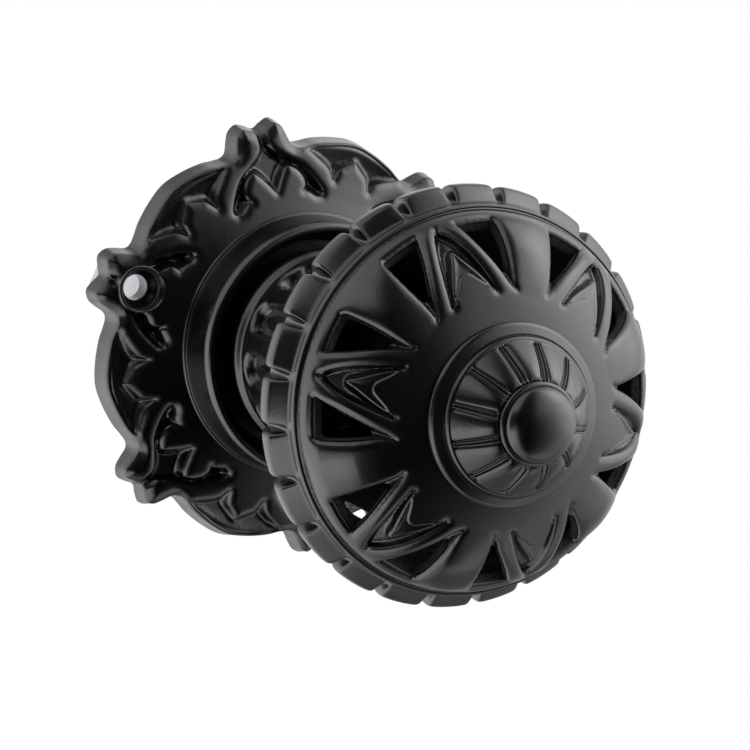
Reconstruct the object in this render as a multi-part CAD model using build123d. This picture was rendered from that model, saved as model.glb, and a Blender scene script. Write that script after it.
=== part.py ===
from build123d import *
from math import atan2, cos, degrees, radians, sin, sqrt, tan
import os

# ---------------------------------------------------------------------------
# Ornamental cast-iron centre/mortice door knob on its rose.
# Frame: +Z up, the knob axis lies along Y, the door face is the plane Y = 0
# and the knob stands out of it towards -Y. The origin is the centre of the
# rose on the door face. Every solid is drawn with its axis along local Z
# (door face at z = 0) and turned into place at the end. Millimetres.
# ---------------------------------------------------------------------------

# Rose (back plate)
ROSE_EDGE = 4.3          # thickness at the outline
ROSE_PAIRS = 6           # horn pairs and lobes
BOSS_FOOT_R = 21.0
BOSS_FOOT_Z = 8.0
BOSS_TOP_Z = 15.8
BOSS_LIP_R = 18.1        # mouth of the recess for the knob neck
RECESS_Z = 9.4           # floor of that recess
HUB_R = 13.5             # solid hub behind the boss
HUB_BORE_R = 9.0         # seat of the bush
COUNTERBORE_R = 11.4     # pocket on the door side for washer and circlip
COUNTERBORE_Z = 3.2
RELIEF = 1.1             # depth of the sunken leafwork
SCREW_R = 29.3           # pitch radius of the two fixing holes
SCREW_HOLE_R = 2.0
SCREW_HEAD_R = 3.5       # countersink at the face
SCREW_RING_R = 3.85

# Bearing
BUSH_BORE_R = 7.05
BUSH_FLANGE_R = 11.5
BUSH_FLANGE_T = 1.0
WASHER_T = 1.0
CIRCLIP_T = 1.1
GROOVE_R = 6.3

# Shank and spindle
SHANK_R = 7.0
SHANK_BACK_Z = 0.4
SHANK_FRONT_Z = 52.0
SHANK_FLANGE_R = 12.0
SHANK_FLANGE_Z = 10.7
SHANK_FLANGE_T = 1.8
COLLAR_R = 10.0
COLLAR_Z = 21.0
COLLAR_LEN = 9.0
SPINDLE = 8.0            # across flats
SOCKET = 8.1
SOCKET_DEPTH_Z = 38.0
SPINDLE_BACK_Z = -70.0
SPINDLE_FRONT_Z = 36.0
GRUB_R = 2.5
GRUB_LEN = 6.0
GRUB_ANGLE = 263.8       # points down through a gap between two bars

# Knob bell (pierced back)
BELL_BASE_Z = 12.5
BELL_BASE_T = 2.6
BELL_BARS = 12
BELL_PHASE = 23.8
SLOT_ANGLE = 18.6        # angle each opening spans
SLOT_BACK_Z = 19.6
SLOT_FRONT_Z = 54.0
BELL_RIM_Z = 57.4
BELL_WALL = 2.2

# Crown ring
CROWN_BLOCKS = 24
CROWN_PHASE = 9.9        # angle of the first notch
CROWN_R = 31.9
CROWN_R_Z = 61.1         # height of the widest point
CROWN_BACK_Z = 57.4
CROWN_FRONT_Z = 66.3
CROWN_BAND_R = 29.6
CROWN_NOTCH = 1.7

# Dome (pierced front)
DOME_R = 29.1
DOME_CENTRE_Z = 65.1
DOME_HEIGHT = 15.0
DOME_WALL = 2.4
DOME_GROUPS = 6
KNOB_PHASE = 7.0         # angle of the first leaf group
SEAT_R = 13.9            # seat of the medallion

# Medallion and centre
MEDALLION_BASE_R = 13.7
MEDALLION_EDGE_R = 11.4
MEDALLION_EDGE_Z = 80.9
MEDALLION_TOP_R = 6.6
MEDALLION_TOP_Z = 85.9
PETALS = 12
COLLAR_WASHER_R = 6.2
BUTTON_R = 5.6
BUTTON_Z = 87.0
BUTTON_TOP_Z = 90.1
BOLT_R = 3.0
BOLT_BACK_Z = 42.5
NUT_AF = 10.0
NUT_T = 5.0


def put(shape):
    """Turn a solid drawn along local Z so that local Z points to -Y."""
    return Rot(90, 0, 0) * shape


def polar(radius, degrees_):
    """Cartesian point from radius and angle."""
    return (radius * cos(radians(degrees_)), radius * sin(radians(degrees_)))


def lathe(points):
    """Solid of revolution about Z from (radius, z) points of its half section."""
    outline = Polyline(*[(r, z) for r, z in points], close=True)
    face = make_face(Plane.XZ * outline)
    return revolve(face, Axis.Z)


def tube(outer, inner, z0, z1):
    """Plain ring between two radii and two heights."""
    return lathe([(inner, z0), (outer, z0), (outer, z1), (inner, z1)])


def disc(radius, z0, z1):
    """Plain solid cylinder standing between two heights."""
    return Pos(0, 0, z0) * Cylinder(radius, z1 - z0, align=(Align.CENTER, Align.CENTER, Align.MIN))


def ring_of(shape, count, phase=0.0):
    """Copies of a shape turned evenly about the knob axis."""
    return [Rot(0, 0, phase + 360 / count * i) * shape for i in range(count)]


# --------------------------------------------------------------------- rose

# Half of one sector of the outline, from the notch between two horns
# (0 degrees) to the middle of a lobe (30 degrees): (angle, radius).
ROSE_SECTOR = [
    (0.0, 34.7), (2.2, 35.4), (4.6, 36.0), (6.9, 35.3), (8.2, 34.0),
    (9.6, 32.3), (11.4, 31.8), (14.0, 32.0), (18.0, 32.6), (24.0, 33.2),
]
LOBE_R = 33.6


def rose_outline(inset=0.0):
    """Closed outline of the rose, moved inwards by the inset."""
    points = []
    for k in range(ROSE_PAIRS):
        base = 60.0 * k
        for angle, radius in ROSE_SECTOR:
            points.append(polar(radius - inset, base + angle))
        points.append(polar(LOBE_R - inset, base + 30))
        for angle, radius in reversed(ROSE_SECTOR[1:]):
            points.append(polar(radius - inset, base + 60 - angle))
    return make_face(Spline(*points, periodic=True))


def rose_section(lift=0.0):
    """Domed face of the rose as a solid of revolution, raised by the lift."""
    return lathe([
        (0, 0), (38, 0), (38, ROSE_EDGE - 0.6 + lift), (33, ROSE_EDGE + 0.2 + lift),
        (27, 5.9 + lift), (BOSS_FOOT_R + 0.6, BOSS_FOOT_Z - 0.2 + lift), (0, BOSS_FOOT_Z + lift),
    ])


def rose_boss():
    """Stepped central boss with the recess that takes the knob neck."""
    return lathe([
        (HUB_R, 6.2), (19.3, 6.2), (21.0, 5.0), (22.0, 4.9), (22.0, 7.9), (21.9, 8.3), (BOSS_FOOT_R, 8.9),
        (20.7, 10.5), (20.6, 14.6), (20.3, 15.4), (19.6, BOSS_TOP_Z), (19.1, 15.6),
        (18.6, 14.9), (BOSS_LIP_R, 14.2), (BOSS_LIP_R - 0.2, RECESS_Z + 0.6),
        (BOSS_LIP_R - 0.8, RECESS_Z), (HUB_R, RECESS_Z),
    ])


def rose_crescent():
    """Sunken crescent of one lobe with its leaf-shaped inner edge."""
    half = [
        (0.0, 29.0), (3.0, 28.6), (4.4, 27.2), (6.2, 26.9), (8.0, 27.8),
        (12.0, 30.2), (17.0, 31.0),
    ]
    outer = [(15.0, 31.3), (10.0, 31.9), (5.0, 32.3), (0.0, 32.5)]
    side = [polar(r, 30 + a) for a, r in half] + [polar(r, 30 + a) for a, r in outer]
    other = [polar(r, 30 - a) for a, r in reversed(half)][:-1]
    back = [polar(r, 30 - a) for a, r in reversed(outer)][1:]
    return make_face(Polyline(*(side + back + other), close=True))


def rose_stem(side):
    """Raised rounded stem that runs inwards from one horn."""
    centre = [(4.6, 35.4), (5.3, 33.4), (7.2, 31.0), (10.6, 28.6), (14.6, 26.0), (18.6, 23.6)]
    width = [2.1, 1.7, 1.6, 1.6, 1.3, 0.3]
    left = []
    right = []
    for (angle, radius), half in zip(centre, width):
        spread = degrees(half / radius)
        left.append(polar(radius - half * 0.25, side * (angle - spread)))
        right.append(polar(radius + half * 0.25, side * (angle + spread)))
    tip = polar(centre[-1][1] - 0.7, side * (centre[-1][0] + 0.6))
    edge_a = Spline(*left, tip)
    edge_b = Spline(*right, tip)
    cap = Line(left[0], right[0])
    return make_face([edge_a, edge_b, cap])


def rose_leaf_pocket(side):
    """Small sunken leaf between the two stems of a pair."""
    points = [polar(30.6, side * 2.0), polar(28.2, side * 6.6), polar(25.6, side * 11.2),
              polar(26.4, side * 6.8), polar(26.0, side * 3.6), polar(28.4, side * 2.2)]
    return make_face(Polyline(*points, close=True))


def make_rose():
    """Cast rose: outline, domed face, lip, leafwork, boss, hub and holes."""
    plate = extrude(rose_outline(), 20)
    inner = extrude(rose_outline(inset=1.0), 20)
    pockets = Sketch() + ring_of(rose_crescent(), ROSE_PAIRS)
    leaf = Sketch() + rose_leaf_pocket(1) + rose_leaf_pocket(-1)
    for k in (1, 2, 4, 5):
        pockets += Rot(0, 0, 60 * k) * leaf
    stems = Sketch() + ring_of(rose_stem(1), ROSE_PAIRS) + ring_of(rose_stem(-1), ROSE_PAIRS)
    field = rose_section() - extrude(pockets, 20)
    rim = rose_section(0.45) - inner
    ridges = rose_section(0.8) & extrude(stems, 20)
    rose = plate & (rose_section(-RELIEF) + field + rim + ridges)

    hollow = lathe([
        (HUB_R, -1), (HUB_R, 6.2), (19.3, 6.2), (21.0, 5.0), (27.0, 2.6), (30.0, 1.8), (30.0, -1),
    ])
    for side in (0, 180):
        x, y = polar(SCREW_R, side)
        hollow -= Pos(x, y, 0) * disc(5.2, -2, 8)
    rose -= hollow
    rose -= disc(22.0, RECESS_Z, 20)
    rose += rose_boss()
    rose += tube(HUB_R + 0.6, HUB_BORE_R, COUNTERBORE_Z, RECESS_Z)
    rose -= disc(HUB_BORE_R, -1, 12)
    rose -= disc(COUNTERBORE_R, -1, COUNTERBORE_Z)
    for side in (0, 180):
        x, y = polar(SCREW_R, side)
        rose -= Pos(x, y, 0) * disc(SCREW_RING_R + 1.0, 6.3, 12)
        rose += Pos(x, y, 0) * disc(SCREW_RING_R, 4.0, 6.3)
        rose -= Pos(x, y, 0) * disc(SCREW_HOLE_R, -1, 12)
        rose -= Pos(x, y, 0) * lathe([(0, 6.3 - 1.9), (SCREW_HOLE_R, 6.3 - 1.9), (SCREW_HEAD_R - 0.2, 6.0),
                                      (SCREW_HEAD_R - 0.2, 7), (0, 7)])
    return rose


# ------------------------------------------------------------------ bearing

def make_bush():
    """Flanged nylon bush pressed into the hub of the rose."""
    return lathe([
        (BUSH_BORE_R, COUNTERBORE_Z), (HUB_BORE_R, COUNTERBORE_Z), (HUB_BORE_R, RECESS_Z),
        (BUSH_FLANGE_R, RECESS_Z), (BUSH_FLANGE_R, RECESS_Z + BUSH_FLANGE_T),
        (BUSH_BORE_R, RECESS_Z + BUSH_FLANGE_T),
    ])


def make_back_washer():
    """Steel thrust washer between the hub and the circlip."""
    z1 = COUNTERBORE_Z - 0.1
    return tube(10.6, SHANK_R + 0.1, z1 - WASHER_T, z1)


def make_circlip():
    """External circlip with two lugs, sprung into the shank groove."""
    z1 = COUNTERBORE_Z - 0.1 - WASHER_T
    z0 = z1 - CIRCLIP_T
    clip = tube(9.0, GROOVE_R, z0, z1)
    clip -= Pos(8, 0, z0) * Box(6, 3.0, 4)
    for side in (1, -1):
        lug = Pos(8.6, side * 2.6, z0) * Cylinder(1.7, CIRCLIP_T, align=(Align.CENTER, Align.CENTER, Align.MIN))
        lug -= disc(GROOVE_R + 0.75, z0 - 1, z1 + 1)
        lug -= Pos(8.9, side * 2.6, z0) * disc(0.75, -1, 3)
        clip += lug
        clip -= Pos(8.9, side * 2.6, z0) * disc(0.75, -1, 3)
    return Rot(0, 0, 90) * clip


# -------------------------------------------------------- shank and spindle

def make_shank():
    """Turned shank: flange, grub-screw collar, square socket and tapped end."""
    z_groove = COUNTERBORE_Z - 0.1 - WASHER_T
    shank = lathe([
        (0, SHANK_BACK_Z), (SHANK_R - 0.4, SHANK_BACK_Z), (GROOVE_R, SHANK_BACK_Z + 0.3),
        (GROOVE_R, z_groove), (SHANK_R, z_groove), (SHANK_R, SHANK_FLANGE_Z),
        (SHANK_FLANGE_R, SHANK_FLANGE_Z), (SHANK_FLANGE_R, SHANK_FLANGE_Z + SHANK_FLANGE_T),
        (SHANK_R, SHANK_FLANGE_Z + SHANK_FLANGE_T), (SHANK_R, COLLAR_Z), (COLLAR_R, COLLAR_Z + 0.6),
        (COLLAR_R, COLLAR_Z + COLLAR_LEN - 0.6), (SHANK_R, COLLAR_Z + COLLAR_LEN),
        (SHANK_R, SHANK_FRONT_Z - 0.6), (SHANK_R - 0.6, SHANK_FRONT_Z), (0, SHANK_FRONT_Z),
    ])
    shank += tube(SHANK_R, GROOVE_R - 1, SHANK_BACK_Z, z_groove - CIRCLIP_T)
    socket = Box(SOCKET, SOCKET, SOCKET_DEPTH_Z + 2, align=(Align.CENTER, Align.CENTER, Align.MIN))
    shank -= Rot(0, 0, GRUB_ANGLE) * Pos(0, 0, -2) * socket
    shank -= disc(BOLT_R, BOLT_BACK_Z - 2, SHANK_FRONT_Z + 1)
    grub = Rot(0, 0, GRUB_ANGLE) * Pos(0, 0, COLLAR_Z + COLLAR_LEN / 2) * Rot(0, 90, 0)
    shank -= grub * Cylinder(GRUB_R, 20, align=(Align.CENTER, Align.CENTER, Align.MIN))
    return shank


def make_spindle():
    """Square steel spindle with chamfered ends."""
    length = SPINDLE_FRONT_Z - SPINDLE_BACK_Z
    bar = Box(SPINDLE, SPINDLE, length, align=(Align.CENTER, Align.CENTER, Align.MIN))
    ends = bar.faces().sort_by(Axis.Z)
    bar = chamfer(ends[0].edges() + ends[-1].edges(), 0.6)
    return Rot(0, 0, GRUB_ANGLE) * Pos(0, 0, SPINDLE_BACK_Z) * bar


def make_grub_screw():
    """Socket-head grub screw that bears on a flat of the spindle."""
    screw = Cylinder(GRUB_R, GRUB_LEN, align=(Align.CENTER, Align.CENTER, Align.MIN))
    screw = chamfer(screw.edges(), 0.4)
    key = extrude(RegularPolygon(1.25 / cos(radians(30)), 6), 2.5)
    screw -= Pos(0, 0, GRUB_LEN - 2.4) * key
    place = Rot(0, 0, GRUB_ANGLE) * Pos(0, 0, COLLAR_Z + COLLAR_LEN / 2) * Rot(0, 90, 0)
    return place * Pos(0, 0, SPINDLE / 2) * screw


# --------------------------------------------------------------------- bell

# Outside of the bell from the neck bead to the rim: (radius, z).
BELL_OUTSIDE = [
    (15.9, 18.4), (16.1, 20.0), (16.8, 25.0), (18.1, 31.0), (20.0, 37.5),
    (22.6, 44.0), (25.8, 50.5), (29.0, 56.2),
]


def bell_radius(z):
    """Outside radius of the bell at a height, by straight steps."""
    for (r0, z0), (r1, z1) in zip(BELL_OUTSIDE, BELL_OUTSIDE[1:]):
        if z <= z1:
            return r0 + (r1 - r0) * (z - z0) / (z1 - z0)
    return BELL_OUTSIDE[-1][0]


def bell_slot():
    """Cutter for one opening: round at the neck, wider towards the rim."""
    steps = 8
    half = radians(SLOT_ANGLE / 2)
    left = []
    right = []
    for i in range(steps + 1):
        z = SLOT_BACK_Z + 2.6 + (SLOT_FRONT_Z - SLOT_BACK_Z - 6.4) * i / steps
        w = bell_radius(z) * tan(half)
        left.append((-w, z))
        right.append((w, z))
    back = ThreePointArc(right[0], (0, SLOT_BACK_Z), left[0])
    front = ThreePointArc(left[-1], (0, SLOT_FRONT_Z), right[-1])
    face = make_face([back, Spline(*left), front, Spline(*reversed(right))])
    # the drawing plane stands up, its normal points along +X
    plane = Plane(origin=(8, 0, 0), x_dir=(0, 1, 0), z_dir=(1, 0, 0))
    return extrude(plane * face, 30)


def make_bell():
    """Pierced back casting: neck with bead, bars and rim."""
    rim_r = BELL_OUTSIDE[-1][0]
    outside = Spline(*[(r, z) for r, z in BELL_OUTSIDE])
    inside_points = [(r - BELL_WALL * 1.05, z + 0.5) for r, z in BELL_OUTSIDE]
    inside = Spline(*inside_points)
    neck = Polyline((SHANK_R, BELL_BASE_Z), (14.6, BELL_BASE_Z), (15.0, 14.2), (16.2, 15.2),
                    (16.7, 16.3), (16.4, 17.5), BELL_OUTSIDE[0])
    rim = Polyline(BELL_OUTSIDE[-1], (rim_r, BELL_RIM_Z), (rim_r - BELL_WALL, BELL_RIM_Z), inside_points[-1])
    base = Polyline(inside_points[0], (inside_points[0][0], BELL_BASE_Z + BELL_BASE_T),
                    (SHANK_R, BELL_BASE_Z + BELL_BASE_T), (SHANK_R, BELL_BASE_Z))
    face = make_face(Plane.XZ * (Curve() + neck + outside + rim + inside + base))
    bell = revolve(face, Axis.Z)
    for slot in ring_of(bell_slot(), BELL_BARS, BELL_PHASE):
        bell -= slot
    return bell


# -------------------------------------------------------------------- crown

def make_crown():
    """Ring of rounded blocks divided by narrow notches."""
    band = lathe([
        (26.6, CROWN_BACK_Z), (CROWN_BAND_R, CROWN_BACK_Z), (CROWN_BAND_R, 65.6), (DOME_R, CROWN_FRONT_Z),
        (26.6, CROWN_FRONT_Z),
    ])
    hump = Curve() + [
        ThreePointArc((30.1, CROWN_BACK_Z), (31.4, 58.9), (CROWN_R, CROWN_R_Z)),
        ThreePointArc((CROWN_R, CROWN_R_Z), (31.3, 64.1), (29.6, 66.1)),
    ]
    foot = Polyline((29.6, 66.1), (28.4, 66.1), (28.4, CROWN_BACK_Z), (30.1, CROWN_BACK_Z))
    bead = revolve(make_face(Plane.XZ * (hump + foot)), Axis.Z)
    half = 180 / CROWN_BLOCKS - degrees(CROWN_NOTCH / 2 / CROWN_R)
    far = 40
    wedge = make_face(Polyline((0, 0), polar(far, -half), polar(far, half), close=True))
    block = bead & extrude(wedge, 80)
    flanks = block.edges().filter_by(lambda e: e.center().X > 30.6 and abs(e.center().Y) > 3.0)
    block = fillet(flanks, 0.5)
    return band + ring_of(block, CROWN_BLOCKS, CROWN_PHASE + 180 / CROWN_BLOCKS)


# --------------------------------------------------------------------- dome

def dome_z(radius, inset=0.0):
    """Height of the dome surface at a radius, or of its inside."""
    a = DOME_R - inset
    b = DOME_HEIGHT - inset
    return DOME_CENTRE_Z + b * sqrt(max(0.0, 1 - (radius / a) ** 2))


def dome_curve(inset, r_in):
    """Points of the dome section from the rim towards the middle."""
    a = DOME_R - inset
    points = []
    steps = 9
    for i in range(steps + 1):
        r = a - (a - r_in) * (i / steps) ** 2
        points.append((r, dome_z(r, inset)))
    return points


def dome_shell():
    """Blank of the dome with medallion seat and clamping boss."""
    outer = [p for p in dome_curve(0, SEAT_R) if p[1] > CROWN_FRONT_Z + 0.2]
    inner = [p for p in dome_curve(DOME_WALL, 9.0) if p[1] > CROWN_FRONT_Z + 0.2]
    section = [(DOME_R - 0.1, CROWN_FRONT_Z)] + outer + [(BOLT_R + 0.2, outer[-1][1]), (BOLT_R + 0.2, 72.0)]
    section += [(8.0, 72.0)] + list(reversed(inner)) + [(DOME_R - DOME_WALL, CROWN_FRONT_Z)]
    spigot = tube(26.5, 24.6, 62.5, CROWN_FRONT_Z + 0.6)
    return lathe(section) + spigot


def on_dome_plane(points, tilt_angle, tilt):
    """Cut outline given as (angle, radius) on the dome, seen along a tilted normal."""
    normal = (cos(radians(tilt_angle)) * sin(radians(tilt)), sin(radians(tilt_angle)) * sin(radians(tilt)),
              cos(radians(tilt)))
    x_dir = (-sin(radians(tilt_angle)), cos(radians(tilt_angle)), 0)
    r = 24.0
    origin = (r * cos(radians(tilt_angle)), r * sin(radians(tilt_angle)), dome_z(r))
    plane = Plane(origin=origin, x_dir=x_dir, z_dir=normal)
    flat = []
    for angle, radius in points:
        x, y = polar(radius, angle)
        local = plane.to_local_coords(Vector(x, y, dome_z(radius)))
        flat.append((local.X, local.Y))
    return plane, flat


def dome_window(side):
    """Cutter for one pierced window beside a leaf group."""
    points = [
        (side * 7.8, 28.0), (side * 19.8, 28.0), (side * 20.9, 25.6), (side * 21.0, 22.6),
        (side * 20.6, 20.4), (side * 19.0, 19.6), (side * 15.0, 21.8), (side * 11.0, 24.2), (side * 8.6, 26.6),
    ]
    plane, flat = on_dome_plane(points, side * 14.5, 48)
    face = make_face(Polyline(*flat, close=True))
    solid = extrude(plane * Pos(0, 0, 3.5) * face, -9.0)
    return solid


def dome_wishbone():
    """Cutter for the sunken forked leaf in the middle of a group."""
    points = [
        (0.0, 27.4), (1.6, 25.0), (4.6, 21.6), (8.6, 18.0), (5.4, 19.4), (2.6, 21.4), (0.0, 22.0),
        (-2.6, 21.4), (-5.4, 19.4), (-8.6, 18.0), (-4.6, 21.6), (-1.6, 25.0),
    ]
    plane, flat = on_dome_plane(points, 0, 42)
    face = make_face(Polyline(*flat, close=True))
    return extrude(plane * Pos(0, 0, 4) * face, -12)


def dome_core():
    """Space inside the dome below the depth of the sunken leaves."""
    points = dome_curve(0.9, 0.0)
    return lathe([(0, 50), (DOME_R - 0.9, 50)] + points)


def make_dome():
    """Pierced front casting with twelve windows and six leaf groups."""
    dome = dome_shell()
    core = dome_core()
    wish = dome_wishbone() - core
    for k in range(DOME_GROUPS):
        turn = Rot(0, 0, KNOB_PHASE + 60 * k)
        for side in (1, -1):
            dome -= turn * dome_window(side)
        dome -= turn * wish
    return dome


# ---------------------------------------------------------------- medallion

def make_medallion():
    """Rosette with a rounded rim, a cove and twelve petals round the middle."""
    z0 = dome_z(SEAT_R)
    rosette = lathe([
        (BOLT_R + 0.2, z0), (13.2, z0), (MEDALLION_BASE_R, z0 + 0.5), (MEDALLION_BASE_R, z0 + 1.1),
        (13.3, z0 + 1.7), (12.7, z0 + 1.8), (12.2, z0 + 1.5), (11.9, z0 + 1.6),
        (MEDALLION_EDGE_R, MEDALLION_EDGE_Z), (11.0, MEDALLION_EDGE_Z + 0.1), (9.6, MEDALLION_EDGE_Z + 1.6),
        (8.0, MEDALLION_EDGE_Z + 3.4), (MEDALLION_TOP_R, MEDALLION_TOP_Z - 0.4), (6.2, MEDALLION_TOP_Z),
        (BOLT_R + 0.2, MEDALLION_TOP_Z),
    ])
    run = MEDALLION_EDGE_R - MEDALLION_TOP_R
    rise = MEDALLION_TOP_Z - MEDALLION_EDGE_Z
    bar = Box(sqrt(run ** 2 + rise ** 2) - 1.2, 0.45, 0.9)
    place = Pos((MEDALLION_EDGE_R + MEDALLION_TOP_R) / 2 - 0.2, 0, (MEDALLION_EDGE_Z + MEDALLION_TOP_Z) / 2 - 0.2)
    groove = place * Rot(0, degrees(atan2(rise, run)), 0) * bar
    for side in (1, -1):
        for cut in ring_of(Pos(0, side * 0.55, 0) * groove, PETALS, KNOB_PHASE):
            rosette -= cut
    return rosette


def make_collar_washer():
    """Turned collar under the head of the centre bolt."""
    z0 = MEDALLION_TOP_Z
    return lathe([
        (BOLT_R + 0.2, z0), (5.9, z0), (COLLAR_WASHER_R, z0 + 0.3), (COLLAR_WASHER_R, z0 + 0.8),
        (5.9, BUTTON_Z), (BOLT_R + 0.2, BUTTON_Z),
    ])


def make_centre_bolt():
    """Domed button head with the stud that clamps the knob together."""
    rise = BUTTON_TOP_Z - BUTTON_Z - 0.3
    steps = 8
    head = [(0, BUTTON_Z), (BUTTON_R - 0.2, BUTTON_Z), (BUTTON_R, BUTTON_Z + 0.3)]
    for i in range(1, steps + 1):
        a = radians(90 * i / steps)
        head.append((BUTTON_R * cos(a), BUTTON_Z + 0.3 + rise * sin(a)))
    head[-1] = (0, BUTTON_TOP_Z)
    stud = disc(BOLT_R, BOLT_BACK_Z, BUTTON_Z + 0.2)
    stud = chamfer(stud.edges().sort_by(Axis.Z)[0], 0.5)
    return lathe(head) + stud


def make_lock_nut():
    """Hexagon nut locking the bolt against the end of the shank."""
    nut = extrude(RegularPolygon(NUT_AF / 2 / cos(radians(30)), 6), NUT_T)
    nut = Pos(0, 0, SHANK_FRONT_Z) * nut
    rounding = lathe([
        (0, SHANK_FRONT_Z), (5.0, SHANK_FRONT_Z), (5.8, SHANK_FRONT_Z + 0.5), (5.8, SHANK_FRONT_Z + NUT_T - 0.5),
        (5.0, SHANK_FRONT_Z + NUT_T), (0, SHANK_FRONT_Z + NUT_T),
    ])
    return (nut & rounding) - disc(BOLT_R, SHANK_FRONT_Z - 1, SHANK_FRONT_Z + NUT_T + 1)


PARTS = {
    "rose": make_rose,
    "rose_bush": make_bush,
    "back_washer": make_back_washer,
    "circlip": make_circlip,
    "shank": make_shank,
    "spindle": make_spindle,
    "grub_screw": make_grub_screw,
    "knob_bell": make_bell,
    "crown_ring": make_crown,
    "knob_dome": make_dome,
    "medallion": make_medallion,
    "collar_washer": make_collar_washer,
    "centre_bolt": make_centre_bolt,
    "lock_nut": make_lock_nut,
}


def main():
    """Write one STEP file for each piece."""
    os.makedirs("parts", exist_ok=True)
    for name, maker in PARTS.items():
        export_step(put(maker()), "parts/" + name + ".step")


if __name__ == "__main__":
    main()
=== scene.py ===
import math

import bmesh
import bpy
import numpy as np
from mathutils import Matrix, Vector
from mathutils.geometry import delaunay_2d_cdt

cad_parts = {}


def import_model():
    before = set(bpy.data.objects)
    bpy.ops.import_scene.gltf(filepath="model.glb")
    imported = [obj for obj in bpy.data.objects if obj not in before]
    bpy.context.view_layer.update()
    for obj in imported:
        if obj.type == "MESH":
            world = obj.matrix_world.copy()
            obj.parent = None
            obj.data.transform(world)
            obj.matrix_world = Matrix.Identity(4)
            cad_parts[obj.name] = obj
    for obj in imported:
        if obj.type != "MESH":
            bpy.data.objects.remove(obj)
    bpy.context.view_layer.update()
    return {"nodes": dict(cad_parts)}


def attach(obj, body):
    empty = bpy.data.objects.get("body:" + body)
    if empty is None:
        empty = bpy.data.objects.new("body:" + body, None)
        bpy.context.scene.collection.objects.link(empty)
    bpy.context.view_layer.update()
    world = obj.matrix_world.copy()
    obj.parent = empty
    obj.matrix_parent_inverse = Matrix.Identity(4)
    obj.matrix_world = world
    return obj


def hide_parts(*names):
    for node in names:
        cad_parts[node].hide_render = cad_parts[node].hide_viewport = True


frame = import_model()
SCENE = bpy.context.scene
MM = 0.001

# The knob axis is Y and the door face is the plane Y = 0. In the helpers below a
# place is (radius, angle, height): millimetres from the axis, degrees from +X
# towards +Z, and millimetres in front of the door face, which is -Y.


# ---- geometry

def world(radius, degrees, height):
    """Object-frame points, in metres, from arrays of radius, angle and height."""
    a = np.radians(degrees)
    return np.stack([radius * np.cos(a), -height, radius * np.sin(a)], -1) * MM


def run_lengths(points):
    """Distance along a line of points, from its start to each of them."""
    return np.concatenate([[0], np.cumsum(np.hypot(*np.diff(points, axis=0).T))])


def smooth_run(points, step):
    """Evenly spaced points along a Catmull-Rom curve through the given ones."""
    p = np.asarray(points, float)
    if len(p) == 2:
        dense = p
    else:
        q = np.vstack([2 * p[0] - p[1], p, 2 * p[-1] - p[-2]])
        t = np.linspace(0, 1, 24, endpoint=False)[:, None]
        rows = []
        for a, b, c, d in zip(q, q[1:], q[2:], q[3:]):
            rows.append(0.5 * (2 * b + (c - a) * t + (2 * a - 5 * b + 4 * c - d) * t ** 2
                               + (3 * b - a - 3 * c + d) * t ** 3))
        dense = np.vstack(rows + [p[-1:]])
    along = run_lengths(dense)
    count = max(1, int(round(along[-1] / step)))
    at = np.linspace(0, along[-1], count + 1)
    return np.column_stack([np.interp(at, along, dense[:, k]) for k in (0, 1)])


def run_loop(runs, step=0.2):
    """Closed loop from smooth runs that meet at corners."""
    return np.vstack([smooth_run(run, step)[:-1] for run in runs])


def mirrored(runs):
    """The runs mirrored on the line x = 0, in the order that carries a loop on."""
    return [[(-x, y) for x, y in reversed(run)] for run in reversed(runs)]


def unit(values):
    """Values held between 0 and 1."""
    return np.clip(values, 0, 1)


def bearing(points):
    """Degrees from +Y towards +X of plan points."""
    return np.degrees(np.arctan2(points[:, 0], points[:, 1]))


def reach(points):
    """Distance of plan points from the axis."""
    return np.hypot(points[:, 0], points[:, 1])


def segment_distance(points, a, b):
    """Distance from each point to the nearest of the segments a-b."""
    best = np.full(len(points), 1e9)
    d = b - a
    length = np.maximum((d ** 2).sum(1), 1e-12)
    for i in range(0, len(points), 2000):
        p = points[i:i + 2000, None, :]
        t = unit(((p - a) * d).sum(2) / length)
        gap = np.hypot(*np.moveaxis(p - a - d * t[..., None], 2, 0))
        best[i:i + 2000] = gap.min(1)
    return best


def inside_loop(points, loop):
    """True where a point lies inside a closed loop, by crossings."""
    x, y = points[:, 0], points[:, 1]
    hit = np.zeros(len(points), bool)
    for (ax, ay), (bx, by) in zip(loop, np.roll(loop, -1, 0)):
        cross = (ay > y) != (by > y)
        if cross.any():
            at = ax + (y - ay) / (by - ay if by != ay else 1e-12) * (bx - ax)
            hit ^= cross & (x < at)
    return hit


def signed_distance(points, loops):
    """Distance to the loops, positive outside all of them."""
    best = np.full(len(points), 1e9)
    inner = np.zeros(len(points), bool)
    for loop in loops:
        best = np.minimum(best, loop_distance(points, loop))
        inner |= inside_loop(points, loop)
    return np.where(inner, -best, best)


def loop_distance(points, loop):
    """Distance from each point to a closed loop."""
    return segment_distance(points, loop, np.roll(loop, -1, 0))


def loop_normal(loop):
    """Unit normals at the points of a closed loop."""
    tangent = np.roll(loop, -1, 0) - np.roll(loop, 1, 0)
    tangent /= np.maximum(np.hypot(*tangent.T)[:, None], 1e-9)
    return np.column_stack([tangent[:, 1], -tangent[:, 0]])


def both_sides(*gaps):
    """Offsets for feature_rows: the line itself, then each gap outside and inside it."""
    return [0.0] + [side * gap for gap in gaps for side in (1, -1)]


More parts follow.
